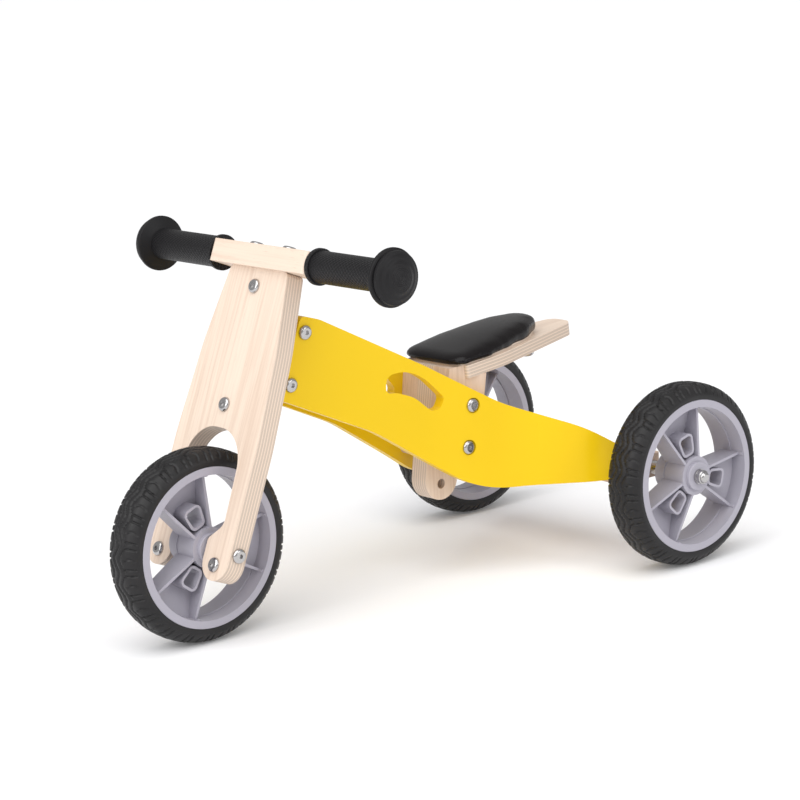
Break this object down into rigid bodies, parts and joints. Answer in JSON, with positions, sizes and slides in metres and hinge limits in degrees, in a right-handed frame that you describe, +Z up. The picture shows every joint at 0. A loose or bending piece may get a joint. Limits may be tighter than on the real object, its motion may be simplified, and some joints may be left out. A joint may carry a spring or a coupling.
{
  "type": "balance bike",
  "caption": "Small child's ride-on balance bike of bent and flat plywood: steered front wheel, paired rear wheels, padded saddle and rubber grips.",
  "frame": {"origin": "on the floor under the middle of the wheelbase, on the centre plane", "axes": "+X to the rider's left, -Y is the way the bike faces, +Z up"},
  "size_m": [0.361, 0.612, 0.3442],
  "materials": {
    "yellow_paint": "satin paint over bent plywood",
    "plywood": "clear satin lacquer",
    "solid_wood": "clear satin lacquer",
    "tyre": "matt moulded tread",
    "rim_plastic": "satin grey moulding",
    "nylon": "natural",
    "grip_rubber": "matt knurled",
    "leatherette": "fine grained, satin",
    "bright_steel": "bright zinc or chrome"
  },
  "bodies": {
    "frame": {"side_panel_left": "yellow_paint", "side_panel_right": "yellow_paint", "head_block": "solid_wood", "steering_bush_lower": "nylon", "steering_bush_upper": "nylon", "head_sleeves": "bright_steel", "head_bolts": "bright_steel", "seat_post": "plywood", "post_spacer_left": "solid_wood", "post_spacer_right": "solid_wood", "post_sleeves": "bright_steel", "post_bolts": "bright_steel", "seat_board": "plywood", "saddle_base": "plywood", "saddle_pad": "leatherette", "seat_screws": "bright_steel", "axle_beam": "solid_wood", "tail_screws": "bright_steel", "rear_axle": "bright_steel", "rear_spacer_left": "bright_steel", "rear_spacer_right": "bright_steel", "rear_inner_washer_left": "bright_steel", "rear_inner_washer_right": "bright_steel", "rear_outer_washer_left": "bright_steel", "rear_outer_washer_right": "bright_steel", "axle_nut_left": "bright_steel", "axle_nut_right": "bright_steel"},
    "fork": {"fork_plate": "plywood", "lower_lug": "solid_wood", "upper_lug": "solid_wood", "steering_rod": "bright_steel", "lug_screws": "bright_steel", "foot_screws": "bright_steel", "handlebar": "solid_wood", "bar_screws": "bright_steel", "grip_left": "grip_rubber", "grip_right": "grip_rubber", "front_axle": "bright_steel", "front_axle_screw": "bright_steel", "front_washer_left": "bright_steel", "front_washer_right": "bright_steel"},
    "front_wheel": {"front_tyre": "tyre", "front_rim": "rim_plastic", "front_hub_cap_outer": "rim_plastic", "front_hub_cap_inner": "rim_plastic", "front_bush": "nylon"},
    "rear_wheel_left": {"rear_left_tyre": "tyre", "rear_left_rim": "rim_plastic", "rear_left_hub_cap_outer": "rim_plastic", "rear_left_hub_cap_inner": "rim_plastic", "rear_left_bush": "nylon"},
    "rear_wheel_right": {"rear_right_tyre": "tyre", "rear_right_rim": "rim_plastic", "rear_right_hub_cap_outer": "rim_plastic", "rear_right_hub_cap_inner": "rim_plastic", "rear_right_bush": "nylon"}
  },
  "joints": [
    {"name": "steering", "type": "hinge", "parent": "frame", "child": "fork", "pos_m": [0, -0.13489, 0.23779], "axis": [0, 0.3778, 0.9259], "range_deg": [-30, 30]},
    {"name": "front_wheel_spin", "type": "hinge", "parent": "fork", "child": "front_wheel", "pos_m": [0, -0.221, 0.085], "axis": [1, 0, 0], "continuous": true},
    {"name": "rear_left_spin", "type": "hinge", "parent": "frame", "child": "rear_wheel_left", "pos_m": [0.15, 0.221, 0.085], "axis": [1, 0, 0], "continuous": true},
    {"name": "rear_right_spin", "type": "hinge", "parent": "frame", "child": "rear_wheel_right", "pos_m": [-0.15, 0.221, 0.085], "axis": [1, 0, 0], "continuous": true}
  ]
}
